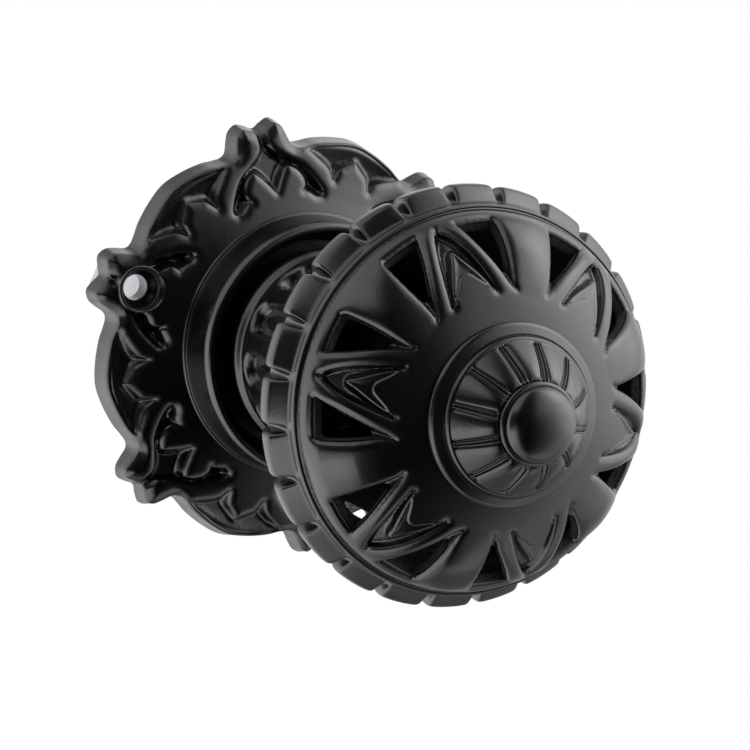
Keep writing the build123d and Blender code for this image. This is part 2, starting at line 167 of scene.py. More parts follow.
def feature_rows(loops, offsets, domain, margin):
    """Points along the loops at each offset, kept where they are true offsets inside the domain."""
    rows = []
    a = np.vstack(loops)
    b = np.vstack([np.roll(loop, -1, 0) for loop in loops])
    for loop in loops:
        normal = loop_normal(loop)
        for offset in offsets:
            row = loop + normal * offset
            gap = segment_distance(row, a, b)
            rows.append(row[np.abs(gap - abs(offset)) < 0.02 + 0.05 * abs(offset)])
    points = np.vstack(rows)
    return points[inside_loop(points, domain) & (loop_distance(points, domain) > margin)]


def thin_out(points, gap):
    """Drops points that lie closer than the gap to one kept before."""
    kept = {}
    out = []
    for i, (x, y) in enumerate(points):
        cx, cy = int(x // gap), int(y // gap)
        near = False
        for ix in (cx - 1, cx, cx + 1):
            for iy in (cy - 1, cy, cy + 1):
                for j in kept.get((ix, iy), ()):
                    if (points[j][0] - x) ** 2 + (points[j][1] - y) ** 2 < gap * gap:
                        near = True
        if not near:
            kept.setdefault((cx, cy), []).append(i)
            out.append(i)
    return points[out]


ROW_GAP = 0.866
SLIVER = 2e-5


def fill_points(domain, spacing, margin):
    """Points of a triangular grid inside the domain."""
    lo, hi = domain.min(0), domain.max(0)
    xs = np.arange(lo[0], hi[0] + spacing, spacing)
    ys = np.arange(lo[1], hi[1] + spacing, spacing * ROW_GAP)
    x, y = np.meshgrid(xs, ys)
    x = x + (np.arange(len(ys)) % 2)[:, None] * spacing / 2
    points = np.column_stack([x.ravel(), y.ravel()])
    points = points[inside_loop(points, domain)]
    return points[loop_distance(points, domain) > margin]


def triangulate(domain, holes, extra):
    """Triangles of the domain without its holes. The loops' points come first, in order."""
    points = np.vstack([domain] + holes + [extra])
    edges = []
    start = 0
    for loop in [domain] + holes:
        n = len(loop)
        edges += [(start + i, start + (i + 1) % n) for i in range(n)]
        start += n
    out = delaunay_2d_cdt([Vector(p) for p in points], edges, [], 0, 1e-7)
    verts = np.array([tuple(v) for v in out[0]])
    faces = np.array([f for f in out[2] if len(f) == 3])
    where = np.empty(len(points), int)
    for new, olds in enumerate(out[3]):
        for old in olds:
            where[old] = new
    middle = verts[faces].mean(1)
    keep = inside_loop(middle, domain)
    for hole in holes:
        keep &= ~inside_loop(middle, hole)
    faces = faces[keep]
    a, b, c = (verts[faces[:, k]] for k in range(3))
    return verts, faces[np.abs(np.cross(b - a, c - a)) > SLIVER], where


class Builder:
    """Collects vertices and faces of one piece."""

    def __init__(self):
        self.verts = []
        self.faces = []
        self.marks = []
        self.count = 0

    def add(self, points):
        points = np.asarray(points, float).reshape(-1, 3)
        self.verts.append(points)
        first = self.count
        self.count += len(points)
        return np.arange(first, first + len(points))

    def strip(self, row_a, row_b):
        """Quads between two closed rows of vertex numbers."""
        for i in range(len(row_a)):
            j = (i + 1) % len(row_a)
            self.faces.append((int(row_a[i]), int(row_a[j]), int(row_b[j]), int(row_b[i])))

    def lathe(self, profile, steps, centre=(0.0, 0.0)):
        """Closed solid of revolution from (radius, height) points."""
        a = np.radians(np.arange(steps) * 360.0 / steps)
        rows = []
        for r, h in profile:
            if r < 1e-6:
                rows.append(self.add([[centre[0] * MM, -h * MM, centre[1] * MM]]))
            else:
                x = centre[0] + r * np.cos(a)
                z = centre[1] + r * np.sin(a)
                rows.append(self.add(np.stack([x, np.full_like(x, -h), z], 1) * MM))
        for low, high in zip(rows, rows[1:] + rows[:1]):
            tip, ring = (low, high) if len(low) == 1 else (high, low)
            if len(tip) > 1:
                self.strip(low, high)
            elif len(ring) > 1:
                for i in range(steps):
                    self.faces.append((int(tip[0]), int(ring[i]), int(ring[(i + 1) % steps])))

    def piece(self, name, merge=2e-6):
        """Blender object with merged seams and outward normals."""
        mesh = bpy.data.meshes.new(name)
        mesh.from_pydata(np.vstack(self.verts).tolist(), [], self.faces)
        marks = self.marks + [0] * (len(self.faces) - len(self.marks))
        for _ in range(max(marks) + 1):
            mesh.materials.append(None)
        mesh.polygons.foreach_set("material_index", marks)
        bm = bmesh.new()
        bm.from_mesh(mesh)
        bmesh.ops.remove_doubles(bm, verts=bm.verts, dist=merge)
        bmesh.ops.dissolve_degenerate(bm, edges=bm.edges, dist=1e-7)
        loose = [v for v in bm.verts if not v.link_faces]
        bmesh.ops.delete(bm, geom=loose, context="VERTS")
        bmesh.ops.recalc_face_normals(bm, faces=bm.faces)
        bm.to_mesh(mesh)
        bm.free()
        mesh.polygons.foreach_set("use_smooth", [True] * len(mesh.polygons))
        obj = bpy.data.objects.new(name, mesh)
        SCENE.collection.objects.link(obj)
        return obj


class Half:
    """One half sector, as (radius, angle, height) points, copied and mirrored round the axis."""

    def __init__(self):
        self.rows = []
        self.faces = []
        self.marks = []
        self.count = 0

    def add(self, r, degrees, height):
        r, degrees, height = np.broadcast_arrays(np.asarray(r, float), degrees, height)
        self.rows.append(np.column_stack([r, degrees, height]))
        first = self.count
        self.count += len(r)
        return np.arange(first, self.count)

    def tris(self, faces, index, mark=0):
        self.faces += [tuple(f) for f in index[faces].tolist()]
        self.marks += [mark] * len(faces)

    def band(self, row_a, row_b, mark=0):
        quads = np.stack([row_a[:-1], row_a[1:], row_b[1:], row_b[:-1]], 1).tolist()
        self.faces += [tuple(q) for q in quads]
        self.marks += [mark] * len(quads)

    def rings(self, start, profile, angles, mark=0):
        """Rows of (radius, height) continuing from a row at the same angles."""
        for r, h in profile:
            row = self.add(np.full(len(angles), r), angles, h)
            self.band(start, row, mark)
            start = row
        return start

    def place(self, builder, turns):
        verts = np.vstack(self.rows)
        for turn in turns:
            for side in (1, -1):
                first = builder.count
                builder.add(world(verts[:, 0], turn + side * verts[:, 1], verts[:, 2]))
                builder.faces += [tuple(i + first for i in f) for f in self.faces]
                builder.marks += self.marks


LONG_EDGE = 0.3


def rounded(profile, steps):
    """Lathe profile with each (r, h, fillet) corner rounded; long edges get a point near each end."""
    out = []
    n = len(profile)
    for i, corner in enumerate(profile):
        p = np.array(corner[:2], float)
        f = corner[2]
        a = np.array(profile[i - 1][:2], float) - p
        b = np.array(profile[(i + 1) % n][:2], float) - p
        la, lb = np.hypot(*a), np.hypot(*b)
        if f <= 0 or p[0] < 1e-6 or la < 1e-9 or lb < 1e-9:
            out.append(tuple(p))
            continue
        cut = min(f, 0.45 * la, 0.45 * lb)
        s, e = p + a / la * cut, p + b / lb * cut
        for t in np.linspace(0, 1, steps + 1):
            out.append(tuple((1 - t) ** 2 * s + 2 * t * (1 - t) * p + t ** 2 * e))
    braced = []
    for i, here in enumerate(out):
        braced.append(here)
        if i + 1 < len(out):
            a, b = np.array(here), np.array(out[i + 1])
            length = np.hypot(*(b - a))
            if length > LONG_EDGE:
                near = min(0.1, 0.25 * length) / length
                braced += [tuple(a + (b - a) * near), tuple(b + (a - b) * near)]
    return braced


# ---- rose

EDGE_R = [(0.0, 34.7), (2.2, 35.4), (4.6, 36.0), (6.9, 35.3), (8.2, 34.0), (9.6, 32.3), (11.4, 31.8),
          (14.0, 32.0), (18.0, 32.6), (24.0, 33.2), (30.0, 33.6)]
SCREW_X = 29.3
SCREW_HOLE_R = 3.6
PLATE_IN = 20.4
EDGE_INSET = 0.75
EDGE_DROP = 0.16
POCKET_DEPTH = 1.95
LOBE_FROM = 12.5


def face_height(r):
    """Height of the rose's smooth face at a radius."""
    return np.interp(r, [20.0, 21.4, 24.0, 27.0, 30.0, 33.0, 37.0],
                     [8.25, 7.85, 6.95, 6.05, 5.25, 4.6, 4.1])


def back_height(r):
    """Height of the rose's hollow back at a radius."""
    return np.interp(r, [20.4, 21.0, 27.0, 29.85, 30.0], [5.4, 5.0, 2.6, 1.8, 0.0])


def plan(r, degrees):
    """Plan point with the sector's middle along +Y."""
    a = math.radians(degrees)
    return (r * math.sin(a), r * math.cos(a))


def across_lobe(at):
    """Run given as (degrees, radius), and the same run mirrored on the lobe's middle line."""
    return [plan(r, a) for a, r in at], [plan(r, 60 - a) for a, r in reversed(at)]


def rose_pockets(with_screw):
    """Sunken parts of one sector, as loops that run past both mirror lines."""
    panel_out = [(0.0, 33.0), (0.4, 32.4), (1.1, 31.3), (2.1, 30.3), (3.7, 29.2), (5.4, 27.85), (6.8, 25.8),
                 (7.6, 24.2), (7.85, 23.2), (7.45, 22.75)]
    panel_in = [(7.45, 22.75), (6.7, 22.9), (5.9, 23.6)]
    side_tooth = [(5.9, 23.6), (5.2, 24.1), (4.75, 24.15)]
    if with_screw:
        blade = [(4.75, 24.15), (5.0, 24.9), (4.9, 25.9), (3.9, 26.9)]
        notch = [(3.9, 26.9), (3.0, 28.6), (2.0, 30.0)]
        right = [panel_out[3:], panel_in, side_tooth, blade, notch, [(2.0, 30.0), (2.1, 30.3)]]
        loops = [run_loop(right), run_loop(mirrored(right))]
    else:
        blade = [(4.75, 24.15), (5.35, 24.9), (5.45, 26.0), (4.95, 27.2), (4.1, 28.1), (3.1, 28.6)]
        notch = [(3.1, 28.6), (2.3, 28.1), (1.2, 26.7), (0.0, 24.9)]
        half = [panel_out, panel_in, side_tooth, blade, notch]
        loops = [run_loop(half + mirrored(half))]
    outer, outer_b = across_lobe([(14.6, 30.95), (17.0, 31.35), (20.0, 31.6), (25.0, 32.15), (30.0, 32.45)])
    flank, flank_b = across_lobe([(23.0, 26.6), (21.6, 27.9), (20.0, 28.75), (18.0, 29.5), (16.2, 30.2),
                                  (14.6, 30.95)])
    rise, rise_b = across_lobe([(30.0, 30.4), (28.5, 29.75), (26.6, 29.05), (24.9, 28.45), (23.9, 27.6),
                                (23.0, 26.6)])
    return loops + [run_loop([outer + outer_b[1:], flank_b, rise_b, rise, flank])]


def rose_groove(points):
    """Depth of the valley that parts the two horns of a pair."""
    x = np.abs(points[:, 0])
    y = points[:, 1]
    rise = unit((y - 30.0) / 4.6)
    width = 2.2 - 1.1 * rise ** 0.6
    depth = POCKET_DEPTH - 0.9 * rise ** 0.7
    return depth * unit(1 - x / width) ** 1.25 * unit((y - 29.2) / 0.8)


def relief(d, crown, width, depth, flank):
    """Height of a surface near a sunken edge: rounded land, steep flank and flat floor."""
    land = -crown * (1 - unit(d / width)) ** 2
    edge = -EDGE_DROP * unit(1 - d / 0.28) ** 2
    t = unit(-d / flank)
    wall = -crown - EDGE_DROP + (-depth + crown + EDGE_DROP) * (1 - (1 - t) ** 1.6)
    return np.where(d > 0, land + edge, wall)


def rose_relief(points, loops):
    """Height of the leafwork above the smooth face."""
    d = signed_distance(points, loops)
    r = reach(points)
    lobe = bearing(points) > LOBE_FROM
    rise = unit((r - 28.6) / 3.6)
    depth = np.where(lobe, POCKET_DEPTH - 1.45 * rise ** 1.3, POCKET_DEPTH)
    crown = 0.5 + 0.1 * unit((r - 29) / 4)
    h = relief(d, crown, 1.35, depth, 0.95)
    h -= np.where(lobe, 0, 0.25 * unit((r - 31.5) / 4.5))
    return np.minimum(h, -rose_groove(points))


def edge_curve(step):
    """Half of one sector of the outline in plan, from the horns' notch to the lobe's middle."""
    full = [plan(r, -a) for a, r in reversed(EDGE_R[:3])][:-1] + [plan(r, a) for a, r in EDGE_R]
    full += [plan(r, 60 - a) for a, r in reversed(EDGE_R[-3:-1])]
    dense = smooth_run(full, 0.02)
    a = bearing(dense)
    dense = dense[(a > -0.03) & (a < 30.03)]
    along = run_lengths(dense)
    at = np.linspace(0, along[-1], int(along[-1] / step) + 1)
    curve = np.column_stack([np.interp(at, along, dense[:, k]) for k in (0, 1)])
    curve[0] = (0.0, np.hypot(*curve[0]))
    curve[-1] = plan(np.hypot(*curve[-1]), 30)
    tangent = np.gradient(curve, axis=0)
    tangent[0] = (1, 0)
    tangent[-1] = (math.cos(math.radians(30)), -math.sin(math.radians(30)))
    tangent /= np.hypot(*tangent.T)[:, None]
    return curve, np.column_stack([-tangent[:, 1], tangent[:, 0]])


def wedge_domain(outer, inner_r, spacing, hole=None):
    """Domain loop: outer curve, lobe line down, inner arc back, axis line up and round the hole.

    Also gives where the arc and the hole's (middle, radius) rim lie in the loop.
    """
    def between(low, high):
        return np.linspace(low, high, max(2, int(abs(high - low) / spacing) + 1))[1:-1]

    def on_axis(ys):
        return np.column_stack([np.zeros_like(ys), ys])

    top = outer[0][1]
    arc = np.array([plan(inner_r, a) for a in bearing(outer)[::-1]])
    down = np.array([plan(r, 30) for r in between(np.hypot(*outer[-1]), inner_r)])
    i_arc = len(outer) + len(down)
    i_up = i_arc + len(arc)
    rim_at = None
    if hole is None:
        up = on_axis(between(inner_r, top))
    else:
        middle, radius = hole
        low = between(inner_r, middle - radius)
        t = np.radians(np.linspace(-90, 90, 25))
        rim = np.column_stack([radius * np.cos(t), middle + radius * np.sin(t)])
        rim[0, 0] = rim[-1, 0] = 0
        up = np.vstack([on_axis(low), rim, on_axis(between(middle + radius, top))])
        rim_at = slice(i_up + len(low), i_up + len(low) + len(rim))
    return np.vstack([outer, down, arc, up]), slice(i_arc, i_up), rim_at


def rose_half(with_screw):
    """Front, edge and back of half a sector."""
    curve, normal = edge_curve(0.25)
    n_outer = len(curve)
    inset_curve = curve - normal * EDGE_INSET
    inset_curve[0, 0] = 0
    hole = (SCREW_X, SCREW_HOLE_R) if with_screw else None
    loops = rose_pockets(with_screw)
    domain, arc, rim = wedge_domain(inset_curve, PLATE_IN, 0.3, hole)
    rows = feature_rows(loops, (0.75, 0.38, 0.16, 0.0, -0.12, -0.3, -0.5, -0.72, -0.95), domain, 0.1)
    rows = thin_out(rows, 0.1)
    groove = np.array([(0.3, 33.4), (0.6, 33.6)])
    if not with_screw:
        groove = np.array([(x, y) for y in np.arange(30.3, 34.6, 0.22)
                           for x in (0.14, 0.3, 0.46, 0.62, 0.8, 0.98, 1.16, 1.34)])
        groove = groove[inside_loop(groove, domain)]
    rim_rows = []
    for inset in (0.12, 0.3, 0.55, 0.85, 1.2):
        row = inset_curve[1:-1] - normal[1:-1] * inset
        rim_rows.append(row[inside_loop(row, domain)])
    extra = thin_out(np.vstack([rows, groove] + rim_rows + [fill_points(domain, 0.36, 0.15)]), 0.115)
    extra = extra[loop_distance(extra, domain) > 0.1]
    verts, faces, where = triangulate(domain, [], extra)
    r = reach(verts)
    height = face_height(r) + rose_relief(verts, loops)
    to_edge = segment_distance(verts, inset_curve[:-1], inset_curve[1:])
    horn = unit((12 - bearing(verts)) / 3) * unit((r - 29) / 2)
    roll = unit(1 - to_edge / (1.25 + 0.7 * horn))
    height = height - (0.5 + 0.4 * horn) * roll ** 2
    top = height[where[:n_outer]]
    half = Half()
    front = half.add(r, bearing(verts), height)
    half.tris(faces, front)
    previous = front[where[:n_outer]]
    for inset, share in ((0.6, 0.93), (0.5, 0.82), (0.42, 0.62), (0.22, 0.3), (0.06, 0.08), (0.0, 0.0)):
        ring = curve - normal * inset
        ring[0, 0] = 0
        ring[-1] = plan(np.hypot(*ring[-1]), 30)
        now = half.add(reach(ring), bearing(ring), top * share)
        half.band(previous, now)
        previous = now
    b_domain, b_arc, b_rim = wedge_domain(curve, PLATE_IN, 1.2, hole)
    angles = bearing(curve)
    ring_points = []
    for ring_r, step in ((30.0, 1), (29.85, 1), (27.0, 2), (21.0, 2)):
        ring_points += [plan(ring_r, a) for a in angles[1:-1:step]]
        ring_points += [plan(ring_r, 0.0), plan(ring_r, 30.0)]
    ring_points = np.array(ring_points)
    keep = inside_loop(ring_points, b_domain) & (loop_distance(ring_points, b_domain) > 0.04)
    bv, bf, bw = triangulate(b_domain, [], ring_points[keep])
    back = half.add(reach(bv), bearing(bv), back_height(reach(bv)))
    half.tris(bf, back, 1)
    half.band(previous, back[bw[:n_outer]])
    half.band(front[where[arc]], back[bw[b_arc]])
    if with_screw:
        half.band(front[where[rim]], back[bw[b_rim]])
    return half


def make_rose():
    """Rose plate, and its boss with the two screw eyelets."""
    b = Builder()
    rose_half(False).place(b, (60, 120, 240, 300))
    rose_half(True).place(b, (0, 180))
    plate = b.piece("rose_plate")
    c = Builder()
    foot = face_height(21.4)
    c.lathe(rounded([
        (13.5, 6.2, 0), (19.3, 6.2, 0.3), (20.6, 5.3, 0.3), (21.45, 5.3, 0.1), (21.45, foot - 0.1, 0.1),
        (21.3, foot + 0.3, 0.2), (20.95, foot + 0.42, 0.12), (20.8, foot + 1.4, 0.5), (20.65, 14.7, 0.8),
        (20.25, 15.7, 0.8), (19.5, 15.85, 0.7), (18.75, 15.1, 0.5), (18.15, 14.25, 0.25), (17.95, 12.8, 0.3),
        (17.85, 10.0, 0.6), (17.2, 9.4, 0.6), (9.0, 9.4, 0), (9.0, 3.2, 0), (11.4, 3.2, 0.1),
        (11.4, 0.25, 0.2), (11.65, 0.0, 0.0), (13.3, 0.0, 0.2), (13.5, 0.2, 0),
    ], 5), 192)
    for x in (-SCREW_X, SCREW_X):
        c.lathe(rounded([
            (2.0, 0.02, 0.0), (4.7, 0.02, 0.1), (4.7, 2.6, 0.1), (3.85, 2.6, 0.0), (3.85, 5.45, 0.12),
            (3.74, 5.75, 0.14), (3.45, 5.75, 0.14), (3.28, 5.4, 0.15), (3.1, 4.6, 0.3), (2.05, 3.2, 0.25),
            (2.0, 2.8, 0.0),
        ], 4), 64, centre=(x, 0.0))
    return plate, c.piece("rose_boss")


# ---- dome

DOME_A, DOME_B, DOME_C = 29.1, 15.0, 65.1
DOME_WALL = 2.4
DOME_SEAT = 12.6
DOME_PHASE = 7.0
OPEN_FROM = 21.5
DEEPEST = 2.25
DOME_T = np.linspace(math.asin(1.3 / DOME_B), math.acos(DOME_SEAT / DOME_A), 600)
DOME_R = DOME_A * np.cos(DOME_T)
DOME_RUN = run_lengths(np.column_stack([DOME_R, DOME_B * np.sin(DOME_T)]))
DOME_RHO = DOME_SEAT + DOME_RUN[-1] - DOME_RUN


def dome_plan(points):
    """Flattened plan of points given by their true sideways and outward distances."""
    p = np.asarray(points, float)
    r = reach(p)
    return p * (np.interp(r, DOME_R[::-1], DOME_RHO[::-1]) / r)[:, None]


def dome_add(half, points, lift):
    """Adds plan points, lifted off the dome along its normal."""
    t = np.interp(reach(points), DOME_RHO[::-1], DOME_T[::-1])
    nr, nz = DOME_B * np.cos(t), DOME_A * np.sin(t)
    n = np.hypot(nr, nz)
    return half.add(DOME_A * np.cos(t) + lift * nr / n, bearing(points),
                    DOME_C + DOME_B * np.sin(t) + lift * nz / n)


def inset_loop(loop, gap):
    """Closed loop moved inwards."""
    normal = loop_normal(loop)
    moved = loop + normal * gap
    if inside_loop(moved, loop).mean() < 0.5:
        moved = loop - normal * gap
    far = loop_distance(moved, loop) > 0.85 * gap
    return moved[far & inside_loop(moved, loop)]


def dome_loops():
    """Window, forked groove and its arms as plan loops."""
    rim = [plan(28.1, a) for a in (6.9, 10, 13, 16, 19.3)]
    lobe_side = [rim[-1], (9.62, 25.9), (9.0, 23.6), (8.15, 21.3), (7.4, 19.4), (6.95, 18.1), (6.85, 17.1)]
    strap_side = [(6.85, 17.1), (6.45, 18.5), (5.9, 20.8), (5.1, 23.3), (4.3, 25.5), (3.7, 27.2), rim[0]]
    window = run_loop([dome_plan(run) for run in (rim, lobe_side, strap_side)])
    outer = [(0.0, 28.0), (0.75, 27.4), (1.5, 26.4), (2.4, 24.5), (3.1, 22.2), (3.6, 19.8), (3.85, 18.0)]
    inner = [(0.0, 25.0), (1.0, 23.4), (1.95, 21.8), (2.75, 20.2), (3.45, 18.5)]
    arch = [(0.0, 21.6), (0.7, 21.35), (1.4, 20.6), (2.3, 19.5), (3.1, 18.7)]
    end = [(3.85, 18.0), (3.7, 17.85), (3.45, 18.5)]
    end_arch = [(3.85, 18.0), (3.7, 17.85), (3.4, 18.2), (3.1, 18.7)]

    def both(runs):
        return run_loop([dome_plan(run) for run in runs + mirrored(runs)])

    arms = both([outer, end, inner[::-1]])
    fork = both([outer, end_arch, arch[::-1]])
    lines = [smooth_run(dome_plan(mirrored([run])[0][:-1] + run), 0.15) for run in (outer, inner)]
    return window, fork, arms, lines


def dome_relief(points, window, fork, arms, lines):
    """Lift of the dome's front over its smooth shape."""
    d_window = signed_distance(points, [window])
    d_fork = signed_distance(points, [fork])
    d_arms = signed_distance(points, [arms])
    d_outer = segment_distance(points, lines[0][:-1], lines[0][1:])
    d_inner = segment_distance(points, lines[1][:-1], lines[1][1:])
    angle = bearing(points)
    strap = unit((20.6 - angle) / 2.2)
    to_window = np.abs(d_window)
    near = np.minimum(to_window, d_outer + 9 * (1 - unit((21.5 - angle) / 2)))
    width = 0.9 + 0.35 * strap
    h = -(0.28 + 0.12 * strap) * (1 - unit(near / width)) ** 2 - 0.14 * unit(1 - near / 0.26) ** 2
    rho = reach(points)
    puff = (0.46 * np.sin(0.5 * math.pi * unit((angle - 20.5) / 9.5))
            * unit((rho - 18) / 7) * unit((33.5 - rho) / 3))
    h = h + puff * unit(d_window / 1.2)
    h = np.where(d_window < 0, -0.42 - 0.12 * strap - 1.9 * to_window, h)
    rib = -0.34 * unit(-d_fork / 0.16) + 0.22 * unit(1 - d_inner / 0.9) - 0.2 * unit(1 - d_inner / 0.22)
    across = d_outer / np.maximum(d_outer + d_inner, 1e-6)
    t = np.minimum(np.minimum(d_outer / 0.38, d_inner / 0.8), -d_arms / 0.3)
    arm = -0.54 + 0.22 * across - 1.0 * unit(t) ** 0.8
    h = np.where(d_fork < 0, rib, h)
    h = np.where(d_arms < 0, arm, h)
    return np.maximum(h, -DEEPEST)


def dome_half():
    """Front, inside, window and seat of half a leaf's sector."""
    window, fork, arms, lines = dome_loops()
    rho_out = DOME_RHO[0]
    angles = np.linspace(0, 30, 73)
    outer = np.array([plan(rho_out, a) for a in angles])
    outer[0, 0] = 0
    hole = inset_loop(window, 0.13)
    true_r = np.interp(reach(hole), DOME_RHO[::-1], DOME_R[::-1])
    start = int(np.argmax((true_r > OPEN_FROM) & (np.roll(true_r, 1) <= OPEN_FROM)))
    hole = np.roll(hole, -start, 0)
    hole = hole[np.roll(true_r, -start) > OPEN_FROM]
    across = np.linspace(0, 1, 9)[1:-1, None]
    hole = np.vstack([hole, hole[-1] * (1 - across) + hole[0] * across])
    domain, arc, _ = wedge_domain(outer, DOME_SEAT, 0.3)
    rows = [feature_rows([window], (0.0, 0.12, 0.26, 0.5, 0.85, 1.2), domain, 0.1),
            feature_rows([fork], both_sides(0.13, 0.28, 0.5), domain, 0.1),
            feature_rows([arms], both_sides(0.15, 0.35), domain, 0.1)]
    middle = np.array([(0.22, y) for y in np.arange(DOME_SEAT + 0.4, rho_out - 0.2, 0.3)])
    extra = thin_out(np.vstack(rows + [middle, fill_points(domain, 0.36, 0.15)]), 0.09)
    extra = extra[(loop_distance(extra, domain) > 0.05) & (loop_distance(extra, hole) > 0.07)
                  & ~inside_loop(extra, hole)]
    verts, faces, where = triangulate(domain, [hole], extra)
    lift = dome_relief(verts, window, fork, arms, lines)
    half = Half()
    front = dome_add(half, verts, lift)
    half.tris(faces, front)
    hole_at = slice(len(domain), len(domain) + len(hole))
    edge = np.append(where[hole_at], where[hole_at][0])
    plan_hole = np.vstack([hole, hole[:1]])
    fill = fill_points(domain, 1.3, 0.5)
    fill = fill[~inside_loop(fill, hole) & (loop_distance(fill, hole) > 0.4)]
    bv, bf, bw = triangulate(domain, [hole], fill)
    back = dome_add(half, bv, np.full(len(bv), -DOME_WALL))
    half.tris(bf, back, 1)
    row = front[edge]
    for share, mark in ((0.12, 0), (0.5, 1), (0.8, 1)):
        now = dome_add(half, plan_hole, lift[edge] * (1 - share) - DOME_WALL * share)
        half.band(row, now, mark)
        row = now
    half.band(row, back[np.append(bw[hole_at], bw[hole_at][0])], 1)
    rim = slice(0, len(outer))
    lip = [(29.06, 66.34), (29.16, 66.3), (29.2, 66.2), (29.2, 65.9), (28.9, 65.8)]
    last = half.rings(front[where[rim]], lip, angles)
    last = half.rings(last, [(26.7, 65.8)], angles, 1)
    half.band(last, back[bw[rim]], 1)
    top = DOME_C + DOME_B * math.sqrt(1 - (DOME_SEAT / DOME_A) ** 2)
    last = half.rings(front[where[arc]], [(3.3, top), (3.3, 72.0), (7.6, 72.0), (8.2, 72.5), (8.9, 75.6)],
                      angles[::-1], 1)
    half.band(last, back[bw[arc]], 1)
    return half


# ---- crown

CROWN_PHASE = 9.9
NOTCH_R = 29.8


def make_crown():
    """Ring of rounded blocks divided by narrow notches."""
    hump = smooth_run([(29.6, 57.5), (30.4, 57.6), (31.05, 58.05), (31.55, 58.75), (31.95, 59.7), (32.15, 60.7),
                       (32.2, 61.6), (32.05, 62.2), (31.7, 62.65), (31.2, 63.15), (30.6, 63.7), (30.05, 64.2),
                       (29.82, 64.5)], 0.2)
    across = 1.2 * np.array([0, 0.14, 0.28, 0.38, 0.46, 0.54, 0.62, 0.72, 0.84, 1.0, 1.2, 1.45, 1.75, 2.1, 2.4,
                             2.7, 3.0, 3.3])
    share = np.array([0, 0.01, 0.07, 0.22, 0.42, 0.62, 0.77, 0.87, 0.93, 0.962, 0.978, 0.987, 0.993, 0.997,
                      1, 1, 1, 1, 1])
    degs = np.append(np.degrees(across / 31.0), 7.5)
    lip = [(29.76, 64.7), (29.74, 65.1), (29.74, 65.5), (29.72, 65.9), (29.64, 66.15), (29.5, 66.28),
           (29.35, 66.31), (29.23, 66.3), (29.22, 66.2), (29.22, 65.7)]
    inside = [(26.6, 65.7), (26.6, 57.4), (29.5, 57.4)]
    half = Half()
    rows = []
    for r, h in hump:
        notch_r = min(NOTCH_R, r)
        rows.append(half.add(notch_r + (r - notch_r) * share, degs, h))
    for low, high in zip(rows, rows[1:]):
        half.band(low, high)
    last = half.rings(rows[-1], lip, degs)
    last = half.rings(last, inside, degs, 1)
    half.band(last, rows[0])
    b = Builder()
    half.place(b, CROWN_PHASE + 15.0 * np.arange(24))
    return b.piece("crown_blocks")


# ---- bell

BELL_WALL = 2.2
BELL_PHASE = 23.8
SLOT_LIP, SLOT_DEPTH, LEAF_RISE = 0.62, 2.0, 1.45
BELL_LINE = smooth_run([(16.45, 17.6), (15.95, 18.4), (16.1, 20.0), (16.8, 25.0), (18.1, 31.0), (20.0, 37.5),
                        (22.6, 44.0), (25.8, 50.5), (28.7, 55.9), (29.0, 57.4)], 0.1)
BELL_RUN = run_lengths(BELL_LINE)
SLOT_HALF = math.tan(math.radians(9.3))


def bell_at(run):
    """Radius and height at a distance along the bell's line."""
    return np.interp(run, BELL_RUN, BELL_LINE[:, 0]), np.interp(run, BELL_RUN, BELL_LINE[:, 1])


def bell_run(height):
    """Distance along the bell's line at a height."""
    return np.interp(height, BELL_LINE[:, 1], BELL_RUN)


def bell_add(half, points, lift):
    """Adds unrolled points, lifted off the bell along its normal."""
    r, z = bell_at(points[:, 1])
    r2, z2 = bell_at(np.minimum(points[:, 1] + 0.4, BELL_RUN[-1]))
    r1, z1 = bell_at(np.maximum(points[:, 1] - 0.4, 0))
    n = np.hypot(r2 - r1, z2 - z1)
    return half.add(r + lift * (z2 - z1) / n, np.degrees(points[:, 0] / r), z - lift * (r2 - r1) / n)


def slot_side(back, front, scale, taper_back, taper_front, step=0.22):
    """Right side of a slot, from its back end on the middle line to its front end, unrolled."""
    a, b = bell_run(back), bell_run(front)
    ra, rb = bell_at(a + taper_back)[0], bell_at(b - taper_front)[0]
    points = [(math.sin(t) * ra * SLOT_HALF * scale, a + taper_back * (1 - math.cos(t)))
              for t in np.linspace(0, math.pi / 2, 9)[:-1]]
    for run in np.linspace(a + taper_back, b - taper_front, 10):
        points.append((bell_at(run)[0] * SLOT_HALF * scale, run))
    points += [(math.cos(t) * rb * SLOT_HALF * scale, b - taper_front * (1 - math.sin(t)))
               for t in np.linspace(0, math.pi / 2, 9)[1:]]
    points[-1] = (0.0, points[-1][1])
    return smooth_run(points, step)


